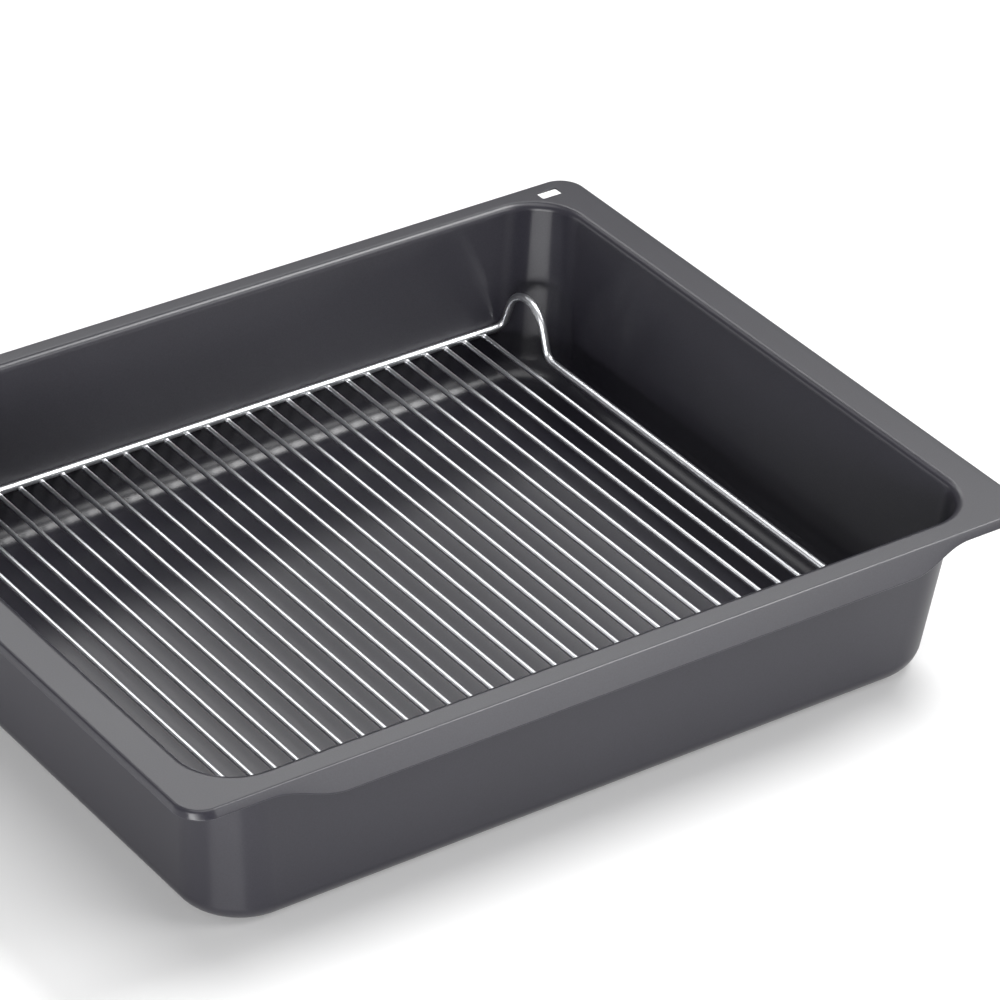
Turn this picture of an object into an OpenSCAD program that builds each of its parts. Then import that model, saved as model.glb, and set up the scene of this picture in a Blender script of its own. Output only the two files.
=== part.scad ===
// Deep oven roasting pan with a lift-out wire rack.
// Millimetres. Z is up, X runs along the width and the front is towards -Y.
// The origin is the middle of the pan's flat base.

/* [Pan] */
// Width of the pan over its rim
pan_w = 455; // [360:1:520]
// Depth of the pan, from the back of the rim to the lower edge of the front flange
pan_d = 375; // [300:1:440]
// Height from the base to the top of the rim
pan_h = 90; // [65:1:130]
// Thickness of the sheet
sheet = 1; // [0.6:0.1:1.6]
// How far the walls lean outwards, in degrees from the vertical
wall_lean = 5.3; // [2:0.1:9]
// Outside radius between the base and the walls
base_r = 13; // [6:0.5:16]
// Outside radius of the upright corners, at the base
corner_base_r = 31.5; // [24:0.5:45]
// Outside radius of the upright corners, at the rim
corner_top_r = 27; // [18:0.5:40]

/* [Rim] */
// Width of the rim at the sides, from its edge to the outside of the wall
rim_side = 20; // [14:0.5:30]
// Width of the rim at the back, from its edge to the outside of the wall
rim_back = 11.6; // [9:0.1:24]
// Width of the rim at the front, from the flange's bend to the outside of the wall
rim_front = 11.6; // [8:0.1:24]
// Radius of the rim's four outer corners
rim_corner_r = 13.8; // [8:0.2:24]
// Radius of the bend from the rim into the walls, on its upper face
rim_bend_r = 4; // [2.5:0.1:6]
// Radius of the bend from the rim into the lip, on its upper face
lip_bend_r = 2; // [1.7:0.1:3]
// How steeply the lip hangs at the sides and back, in degrees below level
lip_slope = 80; // [60:1:90]
// Length of the lip below its bend, at the sides and back
lip_len = 2.4; // [1:0.1:5]

/* [Front flange] */
// How steeply the front flange falls, in degrees below level
flange_slope = 48; // [25:1:60]
// Length of the flange along its slope, where it is widest
flange_len = 11.5; // [8:0.2:20]
// Length along the slope at the two ends of the front, beside the corners
flange_end_len = 3.4; // [2:0.1:7]
// Width of the stretch that has the full length
flange_w = 304; // [160:2:320]
// Width of each curved step between the two lengths
flange_step_w = 36; // [15:1:40]

/* [Rim slots] */
// Length of each slot in the back corners of the rim, along the width
slot_len = 11.8; // [8:0.2:14]
// Width of each slot
slot_w = 6.3; // [4.5:0.1:7]
// Radius of the slots' corners
slot_corner_r = 1; // [0.4:0.1:2]
// Distance from the rim's side edge to the middle of the slot
slot_from_side = 19.6; // [17:0.2:21]
// Distance from the rim's back edge to the middle of the slot
slot_from_back = 11.4; // [9:0.1:12]

/* [Rack] */
// Height of the middle of the frame wire above the base
rack_z = 28; // [20:0.5:40]
// Diameter of the frame wire
frame_wire_d = 4; // [3:0.1:5]
// Diameter of the thin wires
thin_wire_d = 2.5; // [1.5:0.1:3]
// Number of thin wires
thin_wires = 29; // [9:2:41]
// How far the middle of the thin wires lies below the middle of the frame wire
thin_drop = 1.2; // [0.4:0.1:1.4]
// How deep the ends of the thin wires are sunk in the frame wire by their welds
weld_depth = 0.6; // [0.3:0.1:1]
// Distance from a side wire of the frame to the nearest thin wire, middle to middle
edge_pitch = 12.8; // [9:0.2:20]
// Gap between the frame wire and the leaning front and back walls that it sits against
seat_gap = 0.3; // [0.3:0.1:1.5]
// Gap between the frame wire and the side walls
side_gap = 23; // [14:0.5:40]

/* [Lifting arches] */
// Rise of the arches above the frame, middle of the wire to middle of the wire
arch_h = 24.7; // [20:0.1:32]
// Radius of the top of the arches, to the middle of the wire
arch_r = 15; // [10:0.5:17]
// How far the legs of the arches lean together, in degrees from the vertical
arch_lean = 20; // [5:1:30]
// Radius of the bend from the back or front wire into an arch
arch_corner_r = 6; // [4:0.5:8]
// Radius of the bend from an arch into the side wire
arch_foot_r = 7; // [4:0.5:10]

/* [Hidden] */
// Facets of the thin wires and the slots' corners
$fn = 36;
// Steps of each upright corner, base radius, rim bend, lip bend and flange step
corner_steps = 12;
base_steps = 6;
rim_bend_steps = 4;
lip_bend_steps = 4;
flange_steps = 7;
// Sides of the frame wire, and its steps round the small bends and the arches
wire_sides = 16;
bend_steps = 5;
arch_steps = 12;

// Outermost reach of the lip and of the front flange beyond their bends' start
lip_reach = lip_bend_r * sin(lip_slope) + lip_len * cos(lip_slope);
flange_reach = lip_bend_r * sin(flange_slope) + flange_len * cos(flange_slope);
// Half sizes of the walls' outside, taken straight up to the rim's height
wall_x = pan_w / 2 - rim_side;
wall_y = (pan_d - rim_back - rim_front - flange_reach) / 2;
// Back edge of the rim, and where the flat rim ends at the sides, back and front
back_edge = wall_y + rim_back;
flat_x = pan_w / 2 - lip_reach;
flat_back = back_edge - lip_reach;
flat_front = wall_y + rim_front;
flat_corner_r = rim_corner_r - lip_reach;

// How far the outside of the walls lies inside wall_x and wall_y at height z
lean_tan = tan(wall_lean);
function wall_inset(z) = (pan_h - z) * lean_tan;
// Radius of the outside of an upright corner at height z
function corner_r_at(z) = corner_base_r + (corner_top_r - corner_base_r) * z / pan_h;
// Middle of the base radius, shared by the outer and inner faces
base_mid_inset = wall_inset(base_r) + base_r / cos(wall_lean);
// Middle of the bend between rim and wall, shared by the outer and inner faces
rim_mid_z = pan_h - rim_bend_r;
rim_mid_inset = wall_inset(rim_mid_z) - (rim_bend_r - sheet) / cos(wall_lean);

// Smooth step from 0 to 1
function ease(t) = (1 - cos(180 * min(1, max(0, t)))) / 2;

// Stops round the pan, each [side, end, angle, share of the straight half width, frontness].
// They run anticlockwise from above, starting on the front's straight run. Frontness is 1 along
// the front and falls to 0 round the front corners.
flange_stops = [for (i = [0 : flange_steps])
    (flange_w / 2 + flange_step_w * i / flange_steps) / (flat_x - flat_corner_r)];
stops = concat(
    [for (i = [flange_steps : -1 : 0]) [-1, -1, -90, flange_stops[i], 1]],
    [for (i = [0 : flange_steps]) [1, -1, -90, flange_stops[i], 1]],
    [for (i = [0 : corner_steps]) [1, -1, -90 + 90 * i / corner_steps, 1, 1 - ease(i / corner_steps)]],
    [for (i = [0 : corner_steps]) [1, 1, 90 * i / corner_steps, 1, 0]],
    [for (i = [0 : corner_steps]) [-1, 1, 90 + 90 * i / corner_steps, 1, 0]],
    [for (i = [0 : corner_steps]) [-1, -1, 180 + 90 * i / corner_steps, 1, ease(i / corner_steps)]]
);

// A point of a ring at stop s: half width a, depths front and back from the origin, corner radius r
function ring_point(s, a, front, back, r, z) = [
    s[0] * (a - r) * s[3] + r * cos(s[2]),
    s[1] * ((s[1] < 0 ? front : back) - r) + r * sin(s[2]),
    z
];
// A ring of the walls, base or rim, at inset i from wall_x and wall_y and height z
function body_ring(i, z) =
    let (r = corner_r_at(z) + wall_inset(z) - i)
    [for (s = stops) ring_point(s, wall_x - i, wall_y - i, wall_y - i, r, z)];

// Slope and straight length of the lip at a stop
function slope_at(s) = lip_slope + (flange_slope - lip_slope) * s[4];
function full_share(s) =
    ease((flange_w / 2 + flange_step_w - s[3] * (flat_x - flat_corner_r)) / flange_step_w);
function len_at(s) =
    lip_len + (flange_end_len - lip_len) * s[4] + (flange_len - flange_end_len) * full_share(s) * s[4];

// A ring of the lip: share f of the bend, on radius r, and share e of the straight length
function lip_ring(r, f, e) = [for (s = stops)
    let (turn = slope_at(s) * f, reach = r * sin(turn) + e * len_at(s) * cos(turn))
    ring_point(s, flat_x + reach, flat_front + reach, flat_back + reach, flat_corner_r + reach,
        pan_h - lip_bend_r + r * cos(turn) - e * len_at(s) * sin(turn))];

// Round the base radius on radius r, from the base (f = 0) to the wall (f = 1)
function base_ring(r, f) =
    let (a = (90 - wall_lean) * f)
    body_ring(base_mid_inset - r * sin(a), base_r - r * cos(a));
// Round the bend between wall (f = 0) and rim (f = 1) on radius r
function rim_ring(r, f) =
    let (a = wall_lean + (90 - wall_lean) * f)
    body_ring(rim_mid_inset + r * cos(a), rim_mid_z + r * sin(a));

// The pan's whole skin, from the middle of the base out, up, round the lip and back inside
skin = concat(
    [for (i = [0 : base_steps]) base_ring(base_r, i / base_steps)],
    [for (i = [0 : rim_bend_steps]) rim_ring(rim_bend_r - sheet, i / rim_bend_steps)],
    [for (i = [0 : lip_bend_steps]) lip_ring(lip_bend_r - sheet, i / lip_bend_steps, 0)],
    [lip_ring(lip_bend_r - sheet, 1, 1)],
    [lip_ring(lip_bend_r, 1, 1)],
    [for (i = [lip_bend_steps : -1 : 0]) lip_ring(lip_bend_r, i / lip_bend_steps, 0)],
    [for (i = [rim_bend_steps : -1 : 0]) rim_ring(rim_bend_r, i / rim_bend_steps)],
    [for (i = [base_steps : -1 : 0]) base_ring(base_r - sheet, i / base_steps)]
);

// Rack sizes, which follow the pan's inside at the height of the rack
frame_r = frame_wire_d / 2;
inner_inset = wall_inset(rack_z) + sheet / cos(wall_lean);
rack_x = wall_x - inner_inset - side_gap - frame_r;
rack_y = wall_y - inner_inset - (frame_r + seat_gap) / cos(wall_lean);
thin_pitch = 2 * (rack_x - edge_pitch) / (thin_wires - 1);
thin_half_len = rack_y - sqrt(frame_r * frame_r - thin_drop * thin_drop) + weld_depth;
// Legs of the arches
inner_leg = (arch_h - arch_r * (1 - sin(arch_lean))) / cos(arch_lean) - arch_corner_r;
leg_top_z = (inner_leg + arch_corner_r) * cos(arch_lean);
outer_leg = (leg_top_z - arch_foot_r * (1 - sin(arch_lean))) / cos(arch_lean);
// How far an arch reaches along the side wire
arch_span = (inner_leg + arch_corner_r + outer_leg) * sin(arch_lean)
    + (2 * arch_r + arch_foot_r) * cos(arch_lean);

// A quarter of the frame's path, from the middle of the back wire to the middle of a side wire.
// Each place is [point, direction, a direction square to it], and one ring of the wire lies there.
along_x = [1, 0, 0];
leg_up = [0, -sin(arch_lean), cos(arch_lean)];
leg_down = [0, -sin(arch_lean), -cos(arch_lean)];
to_arch_mid = [0, -cos(arch_lean), -sin(arch_lean)];
to_foot_mid = [0, -cos(arch_lean), sin(arch_lean)];
corner_mid = [rack_x - arch_corner_r, rack_y, rack_z] + arch_corner_r * leg_up;
arch_mid = corner_mid + arch_corner_r * along_x + inner_leg * leg_up + arch_r * to_arch_mid;
arch_turn = 180 - 2 * arch_lean;
foot_turn = 90 - arch_lean;
arch_end = arch_mid - arch_r * cos(arch_turn) * to_arch_mid + arch_r * sin(arch_turn) * leg_up;
foot_mid = arch_end + outer_leg * leg_down + arch_foot_r * to_foot_mid;
quarter_path = concat(
    [[[0, rack_y, rack_z], along_x, -leg_up]],
    [for (i = [0 : bend_steps]) let (a = 90 * i / bend_steps, out = along_x * sin(a) - leg_up * cos(a))
        [corner_mid + arch_corner_r * out, along_x * cos(a) + leg_up * sin(a), out]],
    [for (i = [0 : arch_steps]) let (a = arch_turn * i / arch_steps)
        [arch_mid + arch_r * (leg_up * sin(a) - to_arch_mid * cos(a)),
            leg_up * cos(a) + to_arch_mid * sin(a), along_x]],
    [for (i = [0 : bend_steps]) let (a = foot_turn * i / bend_steps)
        [foot_mid + arch_foot_r * (leg_down * sin(a) - to_foot_mid * cos(a)),
            leg_down * cos(a) + to_foot_mid * sin(a), along_x]],
    [[[rack_x, 0, rack_z], [0, -1, 0], along_x]]
);
quarter_rings = [for (p = quarter_path) [for (k = [0 : wire_sides - 1])
    p[0] + frame_r * (cos(360 * k / wire_sides) * p[2] + sin(360 * k / wire_sides) * cross(p[1], p[2]))]];
function mirrored(rings, sx, sy) = [for (ring = rings) [for (q = ring) [sx * q[0], sy * q[1], q[2]]]];
last = len(quarter_rings) - 1;
// The whole loop: quarters forwards and backwards in turn, each without its last ring
frame_rings = concat(
    [for (i = [0 : last - 1]) quarter_rings[i]],
    [for (i = [last : -1 : 1]) mirrored(quarter_rings, 1, -1)[i]],
    [for (i = [0 : last - 1]) mirrored(quarter_rings, -1, -1)[i]],
    [for (i = [last : -1 : 1]) mirrored(quarter_rings, -1, 1)[i]]
);

function wire_name(i) = str("rack_wire_", i < 10 ? "0" : "", i);

// Triangles that join each ring to the next, and the last to the first where the loop is closed
function side_faces(n, m, closed) = [for (j = [0 : (closed ? m - 1 : m - 2)], i = [0 : n - 1], half = [0, 1])
    let (k = (j + 1) % m, h = (i + 1) % n)
    half == 0 ? [j * n + i, k * n + i, k * n + h] : [j * n + i, k * n + h, j * n + h]];

// A closed skin, with a flat base on the first ring and a flat floor on the last
module skin_solid(rings) {
    n = len(rings[0]);
    m = len(rings);
    base = [for (i = [0 : n - 1]) i];
    floor_face = [for (i = [n - 1 : -1 : 0]) (m - 1) * n + i];
    polyhedron(
        points = [for (ring = rings) each ring],
        faces = concat([base], side_faces(n, m, false), [floor_face])
    );
}
// A bent wire closed on itself
module wire_loop(rings) {
    polyhedron(
        points = [for (ring = rings) each ring],
        faces = side_faces(len(rings[0]), len(rings), true)
    );
}

// A punched slot with small round corners, cut right through the rim
module slot_cut() {
    translate([0, 0, pan_h - 2 * sheet])
        linear_extrude(3 * sheet)
            union() {
                square([slot_len, slot_w - 2 * slot_corner_r], center = true);
                square([slot_len - 2 * slot_corner_r, slot_w], center = true);
                for (x = [-1, 1], y = [-1, 1])
                    translate([x * (slot_len / 2 - slot_corner_r), y * (slot_w / 2 - slot_corner_r)])
                        circle(r = slot_corner_r);
            }
}

// Zero sizes in resize() keep every size, and make the skin and its slots one mesh
module pan_shell() {
    color([0.27, 0.27, 0.29])
        resize([0, 0, 0]) difference() {
            skin_solid(skin);
            for (side = [-1, 1])
                translate([side * (pan_w / 2 - slot_from_side), back_edge - slot_from_back, 0])
                    slot_cut();
        }
}

module rack_frame() {
    color([0.85, 0.86, 0.88])
        wire_loop(frame_rings);
}

module rack_wire(i) {
    color([0.85, 0.86, 0.88])
        translate([-rack_x + edge_pitch + (i - 1) * thin_pitch, 0, rack_z - thin_drop])
            rotate([90, 0, 0])
                cylinder(h = 2 * thin_half_len, d = thin_wire_d, center = true);
}

pan_shell();
rack_frame();
for (i = [1 : thin_wires])
    rack_wire(i);
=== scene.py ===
import math

import bmesh
import bpy
from mathutils import Matrix, Vector


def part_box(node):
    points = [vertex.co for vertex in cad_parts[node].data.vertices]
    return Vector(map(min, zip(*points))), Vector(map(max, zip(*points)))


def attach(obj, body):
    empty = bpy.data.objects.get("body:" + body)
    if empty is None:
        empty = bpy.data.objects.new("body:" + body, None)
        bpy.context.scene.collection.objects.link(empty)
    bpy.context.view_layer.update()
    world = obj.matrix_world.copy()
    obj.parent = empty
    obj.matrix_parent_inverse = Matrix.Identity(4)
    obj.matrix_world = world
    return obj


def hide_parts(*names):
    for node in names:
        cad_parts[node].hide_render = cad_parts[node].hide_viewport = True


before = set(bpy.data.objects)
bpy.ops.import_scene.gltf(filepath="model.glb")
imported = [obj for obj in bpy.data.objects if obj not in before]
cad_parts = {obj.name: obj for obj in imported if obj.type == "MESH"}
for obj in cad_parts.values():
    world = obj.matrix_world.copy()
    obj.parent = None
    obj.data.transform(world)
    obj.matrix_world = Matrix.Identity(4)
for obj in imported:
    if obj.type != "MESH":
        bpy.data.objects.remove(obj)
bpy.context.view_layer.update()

MM = 0.001

# Sizes of the pan, as its maker would list them
pan_low, pan_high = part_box("pan_shell")
pan_h = pan_high.z
sheet = 1 * MM
wall_lean = math.radians(5.3)
base_r = 13 * MM
corner_base_r = 31.5 * MM
corner_top_r = 27 * MM
rim_side = 20 * MM
rim_back = 11.6 * MM
rim_front = 11.6 * MM
rim_corner_r = 13.8 * MM
rim_bend_r = 4 * MM
lip_bend_r = 2 * MM
lip_slope = math.radians(80)
lip_len = 2.4 * MM
flange_slope = math.radians(48)
flange_len = 11.5 * MM
flange_end_len = 3.4 * MM
flange_w = 304 * MM
flange_step_w = 36 * MM
slot_len = 11.8 * MM
slot_w = 6.3 * MM
slot_corner_r = 1 * MM
slot_from_side = 19.6 * MM
slot_from_back = 11.4 * MM
slot_edge_r = 0.2 * MM

# Sizes of the rack
frame_wire_r = 2 * MM
thin_wire_r = 1.25 * MM
rack_z = 28 * MM
arch_h = 24.7 * MM
arch_r = 15 * MM
arch_lean = math.radians(20)
arch_corner_r = 6 * MM
arch_foot_r = 7 * MM
weld_r = 1.6 * MM
weld_inset = 1.3 * MM
weld_shape = (1.0, 0.8, 0.92)

# Fineness of the meshes, and the small allowances used in making them
corner_steps = 28
base_steps = 14
rim_bend_steps = 10
lip_bend_steps = 8
lip_end_steps = 4
flange_steps = 18
slot_corner_steps = 5
wire_sides = 32
thin_wire_sides = 20
arch_steps = 28
bend_steps = 10
dome_steps = 6
weld_sides = 16
weld_rings = 10
dome_tip = 0.02
merge_gap = 0.001 * MM
slot_margin = 0.01 * MM
sharp_edge = math.radians(60)

# What follows from the pan's sizes
lip_reach = lip_bend_r * math.sin(lip_slope) + lip_len * math.cos(lip_slope)
flange_reach = lip_bend_r * math.sin(flange_slope) + flange_len * math.cos(flange_slope)
wall_x = pan_high.x - rim_side
wall_y = (pan_high.y - pan_low.y - rim_back - rim_front - flange_reach) / 2
flat_x = pan_high.x - lip_reach
flat_back = pan_high.y - lip_reach
flat_front = wall_y + rim_front
flat_corner_r = rim_corner_r - lip_reach


def ease(t):
    """Smooth step from 0 to 1."""
    return (1 - math.cos(math.pi * min(1, max(0, t)))) / 2


def turn(steps):
    """Equal steps from 0 to 1."""
    return [i / steps for i in range(steps + 1)]


def pan_stops():
    """Stops round the pan: side, end, angle, share of the straight half width, frontness."""
    half = flat_x - flat_corner_r
    shares = [(flange_w / 2 + flange_step_w * t) / half for t in turn(flange_steps)]
    quarter = math.pi / 2
    stops = [(-1, -1, -quarter, share, 1) for share in reversed(shares)]
    stops += [(1, -1, -quarter, share, 1) for share in shares]
    stops += [(1, -1, quarter * (t - 1), 1, 1 - ease(t)) for t in turn(corner_steps)]
    stops += [(1, 1, quarter * t, 1, 0) for t in turn(corner_steps)]
    stops += [(-1, 1, quarter * (1 + t), 1, 0) for t in turn(corner_steps)]
    stops += [(-1, -1, quarter * (2 + t), 1, ease(t)) for t in turn(corner_steps)]
    return stops


STOPS = pan_stops()


def wall_inset(z):
    """How far the leaning wall has come in at height z."""
    return (pan_h - z) * math.tan(wall_lean)


def ring_point(stop, half_w, front, back, r, z):
    """A point of a rectangle with round corners, at one stop and at height z."""
    side, end, angle, share, _ = stop
    depth = front if end < 0 else back
    x = side * (half_w - r) * share + r * math.cos(angle)
    y = end * (depth - r) + r * math.sin(angle)
    return (x, y, z)


def body_ring(inset, z):
    """A ring of the walls, base or rim."""
    r = corner_base_r + (corner_top_r - corner_base_r) * z / pan_h + wall_inset(z) - inset
    return [ring_point(s, wall_x - inset, wall_y - inset, wall_y - inset, r, z) for s in STOPS]


def lip_ring(r, share, end_share, beyond=0):
    """A ring of the lip and the flange, at radius r and a share of the bend or of the length."""
    ring = []
    for stop in STOPS:
        _, _, _, straight, frontness = stop
        slope = lip_slope + (flange_slope - lip_slope) * frontness
        x = straight * (flat_x - flat_corner_r)
        full = ease((flange_w / 2 + flange_step_w - x) / flange_step_w)
        length = lip_len + (flange_end_len - lip_len) * frontness
        length += (flange_len - flange_end_len) * full * frontness
        angle = slope * share
        along = end_share * length + beyond
        reach = r * math.sin(angle) + along * math.cos(angle)
        z = pan_h - lip_bend_r + r * math.cos(angle) - along * math.sin(angle)
        edge_r = flat_corner_r + reach
        front, back = flat_front + reach, flat_back + reach
        ring.append(ring_point(stop, flat_x + reach, front, back, edge_r, z))
    return ring


def base_ring(r, share):
    """A ring of the bend from the base to the wall, at radius r."""
    angle = (math.pi / 2 - wall_lean) * share
    middle = wall_inset(base_r) + base_r / math.cos(wall_lean)
    return body_ring(middle - r * math.sin(angle), base_r - r * math.cos(angle))


def rim_ring(r, share):
    """A ring of the bend from the wall to the flat rim, at radius r."""
    angle = wall_lean + (math.pi / 2 - wall_lean) * share
    z = pan_h - rim_bend_r
    middle = wall_inset(z) - (rim_bend_r - sheet) / math.cos(wall_lean)
    return body_ring(middle + r * math.cos(angle), z + r * math.sin(angle))


def pan_rings():
    """From the middle of the base out, up, round the rounded edge of the lip, and back inside."""
    rings = [base_ring(base_r, t) for t in turn(base_steps)]
    rings += [rim_ring(rim_bend_r - sheet, t) for t in turn(rim_bend_steps)]
    rings += [lip_ring(lip_bend_r - sheet, t, 0) for t in turn(lip_bend_steps)]
    for t in turn(lip_end_steps):
        a = math.pi * (t - 0.5)
        r = lip_bend_r - sheet / 2 + sheet / 2 * math.sin(a)
        rings.append(lip_ring(r, 1, 1, sheet / 2 * (math.cos(a) - 1)))
    rings += [lip_ring(lip_bend_r, t, 0) for t in reversed(turn(lip_bend_steps))]
    rings += [rim_ring(rim_bend_r, t) for t in reversed(turn(rim_bend_steps))]
    rings += [base_ring(base_r - sheet, t) for t in reversed(turn(base_steps))]
    return rings


def new_object(name, mesh):
    piece = bpy.data.objects.new(name, mesh)
    bpy.context.collection.objects.link(piece)
    return piece


def skin_mesh(name, rings):
    """A closed skin through the rings, capped by the first and the last."""
    bm = bmesh.new()
    rows = [[bm.verts.new(p) for p in ring] for ring in rings]
    count = len(rows[0])
    for low, high in zip(rows, rows[1:]):
        for i in range(count):
            j = (i + 1) % count
            bm.faces.new((low[i], low[j], high[j], high[i]))
    bm.faces.new(list(reversed(rows[0])))
    bm.faces.new(rows[-1])
    bmesh.ops.remove_doubles(bm, verts=bm.verts, dist=merge_gap)
    bmesh.ops.recalc_face_normals(bm, faces=bm.faces)
    for face in bm.faces:
        face.smooth = True
    mesh = bpy.data.meshes.new(name)
    bm.to_mesh(mesh)
    bm.free()
    return mesh


def slot_centre(side):
    return Vector((side * (pan_high.x - slot_from_side), pan_high.y - slot_from_back, pan_h))


def slot_cutter(side):
    """A prism with small round corners, as the punch that makes the slot."""
    centre = slot_centre(side)
    outline = []
    for quarter, (sx, sy) in enumerate(((1, 1), (-1, 1), (-1, -1), (1, -1))):
        for t in turn(slot_corner_steps):
            a = math.pi / 2 * (quarter + t)
            x = sx * (slot_len / 2 - slot_corner_r) + slot_corner_r * math.cos(a)
            y = sy * (slot_w / 2 - slot_corner_r) + slot_corner_r * math.sin(a)
            outline.append((centre.x + x, centre.y + y))
    rings = [[(x, y, z) for x, y in outline] for z in (pan_h - 2 * sheet, pan_h + sheet)]
    return new_object("slot_punch", skin_mesh("slot_punch", rings))


def apply_modifiers(piece):
    """Turns the piece with its modifiers into a plain mesh."""
    graph = bpy.context.evaluated_depsgraph_get()
    mesh = bpy.data.meshes.new_from_object(piece.evaluated_get(graph), depsgraph=graph)
    piece.modifiers.clear()
    piece.data = mesh
    return piece


def round_slot_edges(piece):
    """Rounds the punched edges a little, as the enamel does."""
    half_len = slot_len / 2 + slot_margin
    half_w = slot_w / 2 + slot_margin
    bm = bmesh.new()
    bm.from_mesh(piece.data)
    edges = []
    for side in (-1, 1):
        centre = slot_centre(side)
        for edge in bm.edges:
            middle = (edge.verts[0].co + edge.verts[1].co) / 2 - centre
            near = abs(middle.x) < half_len and abs(middle.y) < half_w
            if near and len(edge.link_faces) == 2 and edge.calc_face_angle() > sharp_edge:
                edges.append(edge)
    bmesh.ops.bevel(bm, geom=edges, offset=slot_edge_r, segments=2, affect="EDGES", profile=0.5)
    for face in bm.faces:
        face.smooth = True
    bm.to_mesh(piece.data)
    bm.free()


def make_pan():
    """The pan as one closed sheet, with its two slots punched."""
    piece = new_object("enamelled_pan", skin_mesh("enamelled_pan", pan_rings()))
    cutters = [slot_cutter(side) for side in (-1, 1)]
    for cutter in cutters:
        cut = piece.modifiers.new("slot", "BOOLEAN")
        cut.operation = "DIFFERENCE"
        cut.solver = "EXACT"
        cut.object = cutter
    apply_modifiers(piece)
    for cutter in cutters:
        bpy.data.objects.remove(cutter)
    round_slot_edges(piece)
    even = piece.modifiers.new("even_normals", "WEIGHTED_NORMAL")
    even.weight = 100
    even.keep_sharp = False
    return apply_modifiers(piece)


# The rack's frame, as one closed line that the wire follows
_, frame_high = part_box("rack_frame")
rack_x = frame_high.x - frame_wire_r
rack_y = frame_high.y - frame_wire_r


def frame_quarter():
    """Points from the middle of the back wire, up over an arch, to the middle of a side wire."""
    along = Vector((1, 0, 0))
    leg_up = Vector((0, -math.sin(arch_lean), math.cos(arch_lean)))
    leg_down = Vector((0, -math.sin(arch_lean), -math.cos(arch_lean)))
    to_arch = Vector((0, -math.cos(arch_lean), -math.sin(arch_lean)))
    to_foot = Vector((0, -math.cos(arch_lean), math.sin(arch_lean)))
    inner_leg = (arch_h - arch_r * (1 - math.sin(arch_lean))) / math.cos(arch_lean) - arch_corner_r
    leg_top = (inner_leg + arch_corner_r) * math.cos(arch_lean)
    outer_leg = (leg_top - arch_foot_r * (1 - math.sin(arch_lean))) / math.cos(arch_lean)
    corner_mid = Vector((rack_x - arch_corner_r, rack_y, rack_z)) + arch_corner_r * leg_up
    arch_mid = corner_mid + arch_corner_r * along + inner_leg * leg_up + arch_r * to_arch
    arch_turn = math.pi - 2 * arch_lean
    foot_turn = math.pi / 2 - arch_lean
    points = [Vector((0, rack_y, rack_z))]
    for t in turn(bend_steps):
        a = math.pi / 2 * t
        points.append(corner_mid + arch_corner_r * (along * math.sin(a) - leg_up * math.cos(a)))
    for t in turn(arch_steps):
        a = arch_turn * t
        points.append(arch_mid + arch_r * (leg_up * math.sin(a) - to_arch * math.cos(a)))
    arch_end = points[-1]
    foot_mid = arch_end + outer_leg * leg_down + arch_foot_r * to_foot
    for t in turn(bend_steps):
        a = foot_turn * t
        points.append(foot_mid + arch_foot_r * (leg_down * math.sin(a) - to_foot * math.cos(a)))
    points.append(Vector((rack_x, 0, rack_z)))
    return points


def frame_line():
    """The whole closed line, as four mirrored quarters."""
    quarter = frame_quarter()
    line = []
    for sx, sy, forwards in ((1, 1, True), (1, -1, False), (-1, -1, True), (-1, 1, False)):
        part = quarter if forwards else list(reversed(quarter))
        line += [Vector((sx * p.x, sy * p.y, p.z)) for p in part[:-1]]
    return line


# Node trees that make the wires
def new_tree(name, inputs):
    """A tree with named inputs, and the nodes at which it starts and ends."""
    tree = bpy.data.node_groups.new(name, "GeometryNodeTree")
    tree.interface.new_socket("Geometry", in_out="INPUT", socket_type="NodeSocketGeometry")
    tree.interface.new_socket("Geometry", in_out="OUTPUT", socket_type="NodeSocketGeometry")
    for label, kind, value in inputs:
        socket = tree.interface.new_socket(label, in_out="INPUT", socket_type=kind)
        socket.default_value = value
    return tree, tree.nodes.new("NodeGroupInput"), tree.nodes.new("NodeGroupOutput")


def node(tree, kind, inputs=None, **settings):
    """A node with its settings, whose inputs are values or other nodes' outputs."""
    made = tree.nodes.new(kind)
    for key, value in settings.items():
        setattr(made, key, value)
    for key, value in (inputs or {}).items():
        if isinstance(value, bpy.types.NodeSocket):
            tree.links.new(value, made.inputs[key])
        else:
            made.inputs[key].default_value = value
    return made


def maths(tree, operation, *values):
    return node(tree, "ShaderNodeMath", dict(enumerate(values)), operation=operation).outputs[0]


def finish_tree(tree, geometry, exit_node, material):
    """Ends a tree with smooth shading, real copies and the material."""
    smooth = node(tree, "GeometryNodeSetShadeSmooth", {"Geometry": geometry})
    real = node(tree, "GeometryNodeRealizeInstances", {"Geometry": smooth.outputs["Geometry"]})
    dressed = node(tree, "GeometryNodeSetMaterial", {
        "Geometry": real.outputs["Geometry"], "Material": material})
    tree.links.new(dressed.outputs["Geometry"], exit_node.inputs["Geometry"])


def run_tree(piece, tree, sizes):
    """Gives a piece its tree and the tree's sizes, and keeps the mesh that comes out."""
    modifier = piece.modifiers.new(tree.name, "NODES")
    modifier.node_group = tree
    for item in tree.interface.items_tree:
        if item.item_type == "SOCKET" and item.in_out == "INPUT" and item.name in sizes:
            modifier[item.identifier] = sizes[item.name]
    graph = bpy.context.evaluated_depsgraph_get()
    mesh = bpy.data.meshes.new_from_object(piece.evaluated_get(graph), depsgraph=graph)
    name = piece.name
    bpy.data.objects.remove(piece)
    mesh.name = name
    return new_object(name, mesh)


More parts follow.
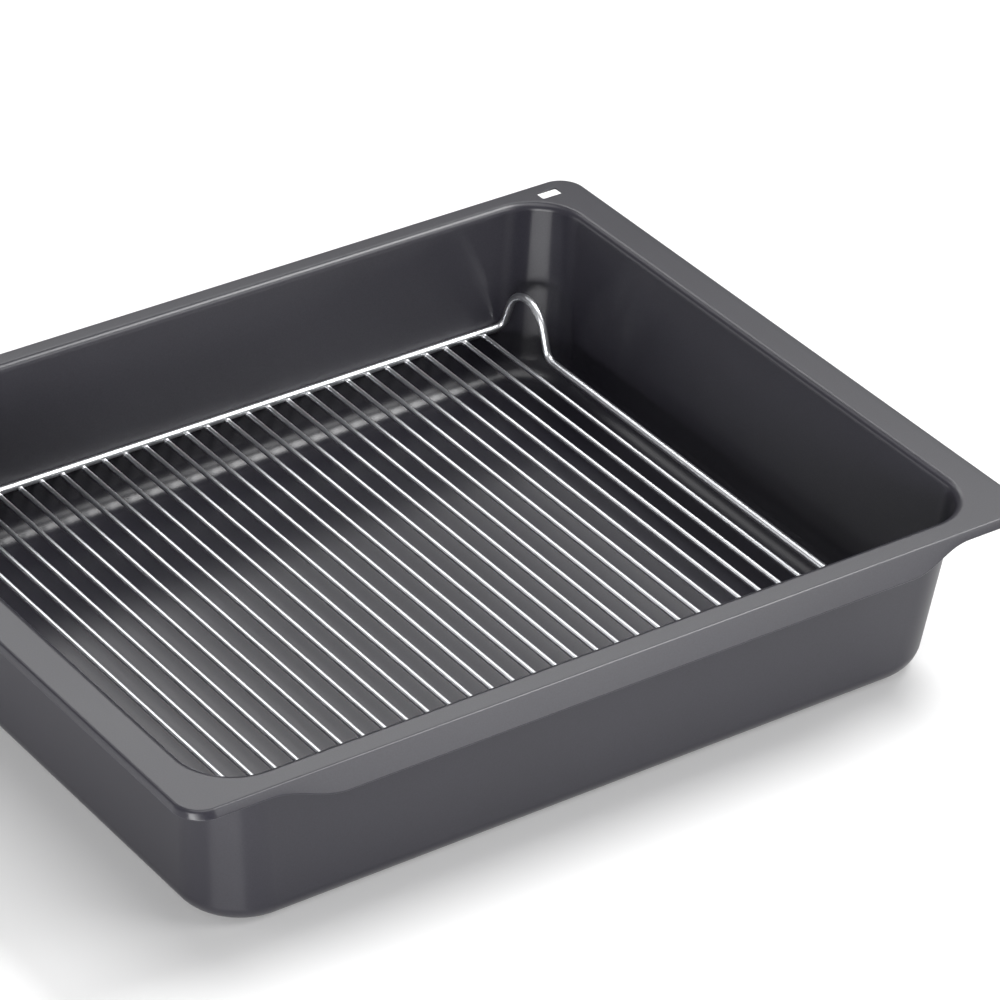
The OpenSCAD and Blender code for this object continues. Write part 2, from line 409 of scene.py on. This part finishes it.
def make_frame_wire(material):
    """A round wire swept along the frame's line."""
    tree, entry, leave = new_tree("bent_wire", [("Wire Radius", "NodeSocketFloat", frame_wire_r)])
    circle = node(tree, "GeometryNodeCurvePrimitiveCircle", {
        "Resolution": wire_sides, "Radius": entry.outputs["Wire Radius"]})
    sweep = node(tree, "GeometryNodeCurveToMesh", {
        "Curve": entry.outputs["Geometry"], "Profile Curve": circle.outputs["Curve"]})
    finish_tree(tree, sweep.outputs["Mesh"], leave, material)

    line = frame_line()
    curve = bpy.data.curves.new("rack_frame_line", "CURVE")
    curve.dimensions = "3D"
    spline = curve.splines.new("POLY")
    spline.points.add(len(line) - 1)
    for point, place in zip(spline.points, line):
        point.co = (*place, 1)
    spline.use_cyclic_u = True
    piece = bpy.data.objects.new("frame_wire", curve)
    bpy.context.collection.objects.link(piece)
    return run_tree(piece, tree, {"Wire Radius": frame_wire_r})


def row_sizes():
    """The row's sizes, from the boxes of its first and last wire."""
    boxes = [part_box(name) for name in thin_names]
    first_low, first_high = boxes[0]
    last_low, last_high = boxes[-1]
    start_x = (first_low.x + first_high.x) / 2
    last_x = (last_low.x + last_high.x) / 2
    return {
        "Count": len(thin_names),
        "Start": start_x,
        "Pitch": (last_x - start_x) / (len(thin_names) - 1),
        "Height": (first_low.z + first_high.z) / 2,
        "Half Length": first_high.y,
        "Wire Radius": thin_wire_r,
        "Weld Radius": weld_r,
        "Weld Place": first_high.y - weld_inset,
    }


def domed_wire(tree, size):
    """One straight wire along Y with domed ends."""
    rings = 2 * dome_steps + 2
    line = node(tree, "GeometryNodeCurvePrimitiveLine")
    points = node(tree, "GeometryNodeResampleCurve", {"Curve": line.outputs["Curve"], "Count": rings})
    index = node(tree, "GeometryNodeInputIndex").outputs[0]
    from_end = maths(tree, "MINIMUM", index, maths(tree, "SUBTRACT", rings - 1, index))
    angle = maths(tree, "MULTIPLY", from_end, math.pi / 2 / dome_steps)
    side = maths(tree, "SIGN", maths(tree, "SUBTRACT", index, (rings - 1) / 2))
    drop = maths(tree, "SUBTRACT", 1, maths(tree, "COSINE", angle))
    dome = maths(tree, "MULTIPLY", size["Wire Radius"], drop)
    along = maths(tree, "MULTIPLY", side, maths(tree, "SUBTRACT", size["Half Length"], dome))
    place = node(tree, "ShaderNodeCombineXYZ", {"Y": along})
    moved = node(tree, "GeometryNodeSetPosition", {
        "Geometry": points.outputs["Curve"], "Position": place.outputs[0]})
    share = maths(tree, "MAXIMUM", maths(tree, "SINE", angle), dome_tip)
    sized = node(tree, "GeometryNodeSetCurveRadius", {
        "Curve": moved.outputs["Geometry"], "Radius": share})
    circle = node(tree, "GeometryNodeCurvePrimitiveCircle", {
        "Resolution": thin_wire_sides, "Radius": size["Wire Radius"]})
    wire = node(tree, "GeometryNodeCurveToMesh", {
        "Curve": sized.outputs["Curve"], "Profile Curve": circle.outputs["Curve"], "Fill Caps": True})
    return wire.outputs["Mesh"]


def weld_beads(tree, size):
    """A small bead at each end of a wire."""
    ball = node(tree, "GeometryNodeMeshUVSphere", {
        "Segments": weld_sides, "Rings": weld_rings, "Radius": size["Weld Radius"]})
    welds = []
    for end in (-1, 1):
        place = maths(tree, "MULTIPLY", size["Weld Place"], end)
        spot = node(tree, "ShaderNodeCombineXYZ", {"Y": place})
        weld = node(tree, "GeometryNodeTransform", {
            "Geometry": ball.outputs["Mesh"], "Translation": spot.outputs[0], "Scale": weld_shape})
        welds.append(weld.outputs["Geometry"])
    return welds


def make_thin_wires(material):
    """A row of straight wires, welded at both ends."""
    sizes = row_sizes()
    kinds = [(k, "NodeSocketInt" if k == "Count" else "NodeSocketFloat", v) for k, v in sizes.items()]
    tree, entry, leave = new_tree("thin_wire_row", kinds)
    size = entry.outputs
    joined = node(tree, "GeometryNodeJoinGeometry")
    for part in [domed_wire(tree, size)] + weld_beads(tree, size):
        tree.links.new(part, joined.inputs["Geometry"])

    begin = node(tree, "ShaderNodeCombineXYZ", {"X": size["Start"], "Z": size["Height"]})
    step = node(tree, "ShaderNodeCombineXYZ", {"X": size["Pitch"]})
    row = node(tree, "GeometryNodeMeshLine", {
        "Count": size["Count"], "Start Location": begin.outputs[0], "Offset": step.outputs[0]})
    copies = node(tree, "GeometryNodeInstanceOnPoints", {
        "Points": row.outputs["Mesh"], "Instance": joined.outputs["Geometry"]})
    finish_tree(tree, copies.outputs["Instances"], leave, material)

    piece = new_object("thin_wires", bpy.data.meshes.new("thin_wires"))
    return run_tree(piece, tree, sizes)


# Finishes. The noises are in waves for each metre
speck_waves = 1500
cloud_waves = 14
peel_waves = 420
haze_waves = 60
grain_waves = 900
# The middle of a noise, which is spread over a range
noise_low = 0.3
noise_high = 0.7
# How far a face looks up or down where a drawn wall ends, and where the flat begins
wall_upright = 0.25
flat_upright = 0.6
# Small changes of roughness, and the relief of the enamel
fine_rough = 0.005
drawn_rough = 0.03
speck_height = 0.35
peel_strength = 0.04
peel_depth = 0.05 * MM
# Colours
enamel_dark = (0.017, 0.016, 0.022, 1)
enamel_light = (0.027, 0.026, 0.035, 1)
chrome_dark = (0.80, 0.81, 0.83, 1)
chrome_light = (0.86, 0.87, 0.89, 1)


def new_material(name):
    material = bpy.data.materials.new(name)
    material.use_nodes = True
    tree = material.node_tree
    shader = tree.nodes["Principled BSDF"]
    return material, tree, shader


def object_noise(tree, scale, detail):
    """Noise fixed to the piece, with its scale in waves for each metre."""
    place = node(tree, "ShaderNodeTexCoord").outputs["Object"]
    noise = node(tree, "ShaderNodeTexNoise", {"Vector": place, "Scale": scale, "Detail": detail})
    return noise.outputs["Fac"]


def map_range(tree, value, from_low, from_high, to_low, to_high):
    mapped = node(tree, "ShaderNodeMapRange", {
        "Value": value, "From Min": from_low, "From Max": from_high, "To Min": to_low, "To Max": to_high})
    return mapped.outputs["Result"]


def spread(tree, value, low, high):
    """Maps the middle of a noise to a range."""
    return map_range(tree, value, noise_low, noise_high, low, high)


def blend(tree, factor, dark, light):
    """A mix of two colours, which are inputs 6 and 7 of the node, and output 2."""
    mix = node(tree, "ShaderNodeMix", {"Factor": factor, 6: dark, 7: light}, data_type="RGBA")
    return mix.outputs[2]


def drawn_walls(tree, shader):
    """Stretches the highlights upright on the drawn walls, and gives back how much of a wall it is."""
    normal = node(tree, "ShaderNodeTexCoord").outputs["Normal"]
    upright = node(tree, "ShaderNodeSeparateXYZ", {"Vector": normal}).outputs["Z"]
    drawn = map_range(tree, maths(tree, "ABSOLUTE", upright), wall_upright, flat_upright, 1.0, 0.0)
    tree.links.new(drawn, shader.inputs["Anisotropic"])
    shader.inputs["Anisotropic Rotation"].default_value = 0.25
    around = node(tree, "ShaderNodeTangent", direction_type="RADIAL", axis="Z")
    tree.links.new(around.outputs["Tangent"], shader.inputs["Tangent"])
    return drawn


def enamel():
    """Satin anthracite enamel: tiny specks, a faint unevenness of tone and a fine orange peel."""
    material, tree, shader = new_material("anthracite_enamel")
    specks = object_noise(tree, speck_waves, 1.0)
    clouds = object_noise(tree, cloud_waves, 2.0)
    peel = object_noise(tree, peel_waves, 2.0)
    colour = blend(tree, spread(tree, specks, 0.15, 0.85), enamel_dark, enamel_light)
    tone = spread(tree, clouds, 0.94, 1.06)
    toned = node(tree, "ShaderNodeVectorMath", {0: colour, "Scale": tone}, operation="SCALE")
    tree.links.new(toned.outputs[0], shader.inputs["Base Color"])
    height = maths(tree, "MULTIPLY_ADD", specks, speck_height, peel)
    bump = node(tree, "ShaderNodeBump", {
        "Strength": peel_strength, "Distance": peel_depth, "Height": height})
    tree.links.new(bump.outputs["Normal"], shader.inputs["Normal"])
    fine = spread(tree, specks, -fine_rough, fine_rough)
    satin = maths(tree, "ADD", fine, spread(tree, clouds, 0.282, 0.298))
    rough = maths(tree, "MULTIPLY_ADD", drawn_walls(tree, shader), drawn_rough, satin)
    tree.links.new(rough, shader.inputs["Roughness"])
    shader.inputs["IOR"].default_value = 1.5
    return material


def chrome(name, low, high):
    """Chrome plating over drawn wire, with a faint haze between two roughnesses."""
    material, tree, shader = new_material(name)
    haze = object_noise(tree, haze_waves, 3.0)
    grain = object_noise(tree, grain_waves, 1.0)
    tone = blend(tree, spread(tree, haze, 0, 1), chrome_dark, chrome_light)
    tree.links.new(tone, shader.inputs["Base Color"])
    fine = spread(tree, grain, -fine_rough, fine_rough)
    rough = maths(tree, "ADD", spread(tree, haze, low, high), fine)
    tree.links.new(rough, shader.inputs["Roughness"])
    shader.inputs["Metallic"].default_value = 1.0
    return material


# The pieces, each on its body
thin_names = sorted(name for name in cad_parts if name.startswith("rack_wire_"))
enamel_finish = enamel()
frame_chrome = chrome("satin_chrome", 0.29, 0.32)
thin_chrome = chrome("bright_chrome", 0.285, 0.30)

pan = make_pan()
pan.data.materials.clear()
pan.data.materials.append(enamel_finish)
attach(pan, "pan")
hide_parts("pan_shell")

frame_wire = make_frame_wire(frame_chrome)
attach(frame_wire, "rack")
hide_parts("rack_frame")

thin_wires = make_thin_wires(thin_chrome)
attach(thin_wires, "rack")
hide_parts(*thin_names)

# The replaced nodes keep the same finishes
for name, cad_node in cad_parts.items():
    finish = {"pan_shell": enamel_finish, "rack_frame": frame_chrome}.get(name, thin_chrome)
    for slot in cad_node.material_slots:
        slot.material = finish


# Studio: a pale floor, soft boxes round the pan and the camera
lamp_distance = 3.0
floor_r = 8.0
floor_glow = 0.08
world_light = 0.25


def make_world():
    """A faint even light from all sides."""
    world = bpy.data.worlds.new("studio")
    bpy.context.scene.world = world
    world.use_nodes = True
    background = world.node_tree.nodes["Background"]
    background.inputs["Color"].default_value = (1, 1, 1, 1)
    background.inputs["Strength"].default_value = world_light


def make_floor():
    """A pale disc that glows a little to the camera and in mirrors."""
    bm = bmesh.new()
    bmesh.ops.create_circle(bm, cap_ends=True, segments=64, radius=floor_r)
    mesh = bpy.data.meshes.new("studio_floor")
    bm.to_mesh(mesh)
    bm.free()
    floor = new_object("studio_floor", mesh)
    material, tree, shader = new_material("pale_floor")
    shader.inputs["Base Color"].default_value = (0.9, 0.9, 0.9, 1)
    shader.inputs["Roughness"].default_value = 0.8
    path = node(tree, "ShaderNodeLightPath").outputs
    mirrored = maths(tree, "MAXIMUM", path["Is Glossy Ray"], path["Is Transmission Ray"])
    seen = maths(tree, "MAXIMUM", path["Is Camera Ray"], mirrored)
    glow = node(tree, "ShaderNodeEmission", {"Strength": maths(tree, "MULTIPLY", seen, floor_glow)})
    both = node(tree, "ShaderNodeAddShader", {0: shader.outputs[0], 1: glow.outputs[0]})
    tree.links.new(both.outputs[0], tree.nodes["Material Output"].inputs["Surface"])
    mesh.materials.append(material)


def towards_place(azimuth, elevation):
    """The direction from the pan. Azimuth 0 is in front, a quarter turn is on the right."""
    level = math.cos(elevation)
    return Vector((math.sin(azimuth) * level, -math.cos(azimuth) * level, math.sin(elevation)))


def make_lamp(name, azimuth, elevation, size_x, size_y, radiance):
    """A soft box that looks at the pan, with its place in degrees and its size in metres."""
    lamp = bpy.data.lights.new(name, "AREA")
    lamp.shape = "RECTANGLE"
    lamp.size = size_x
    lamp.size_y = size_y
    lamp.energy = radiance * math.pi * size_x * size_y
    box = bpy.data.objects.new(name, lamp)
    bpy.context.collection.objects.link(box)
    towards = towards_place(math.radians(azimuth), math.radians(elevation))
    turned = towards.to_track_quat("Z", "Y").to_matrix().to_4x4()
    box.matrix_world = Matrix.Translation(towards * lamp_distance) @ turned
    box.visible_camera = False


def make_camera():
    """The camera that was fitted to the pan's straight edges in the photograph."""
    azimuth, elevation, roll = math.radians(-35.902), math.radians(32.3135), math.radians(2.0199)
    distance = 2.61719
    target = Vector((0.070318, 0.01413, 0.04))
    focal_px, frame_px, sensor = 5558.05, 1000, 36.0
    back = towards_place(azimuth, elevation)
    data = bpy.data.cameras.new("view")
    data.sensor_width = sensor
    data.lens = focal_px / frame_px * sensor
    data.clip_start, data.clip_end = 0.05, 50
    camera = bpy.data.objects.new("view", data)
    bpy.context.collection.objects.link(camera)
    right = (-back).cross(Vector((0, 0, 1))).normalized()
    up = right.cross(-back)
    rolled_right = math.cos(roll) * right + math.sin(roll) * up
    rolled_up = math.cos(roll) * up - math.sin(roll) * right
    turned = Matrix((rolled_right, rolled_up, back)).transposed().to_4x4()
    camera.matrix_world = Matrix.Translation(target + back * distance) @ turned
    bpy.context.scene.camera = camera


make_world()
make_floor()
# The name of each box, its azimuth and elevation, width and height, and brightness
for box in (
    ("key_box", 84, 59, 1.35, 0.8, 14.5),
    ("top_box", 0, 89, 2.0, 2.0, 2.3),
    ("far_box", 144, 39.5, 2.2, 0.5, 5.2),
    ("far_left_box", 189, 46, 1.0, 0.7, 2.2),
    ("left_low_box", 226, 12, 1.1, 0.7, 2.2),
    ("front_box", 40, 40.5, 1.2, 0.8, 5.6),
    ("front_low_box", 33, 3, 1.3, 0.28, 8.0),
    ("near_low_box", -48, 10, 2.4, 0.6, 20.0),
):
    make_lamp(*box)
make_camera()
bpy.context.scene.view_settings.view_transform = "Standard"
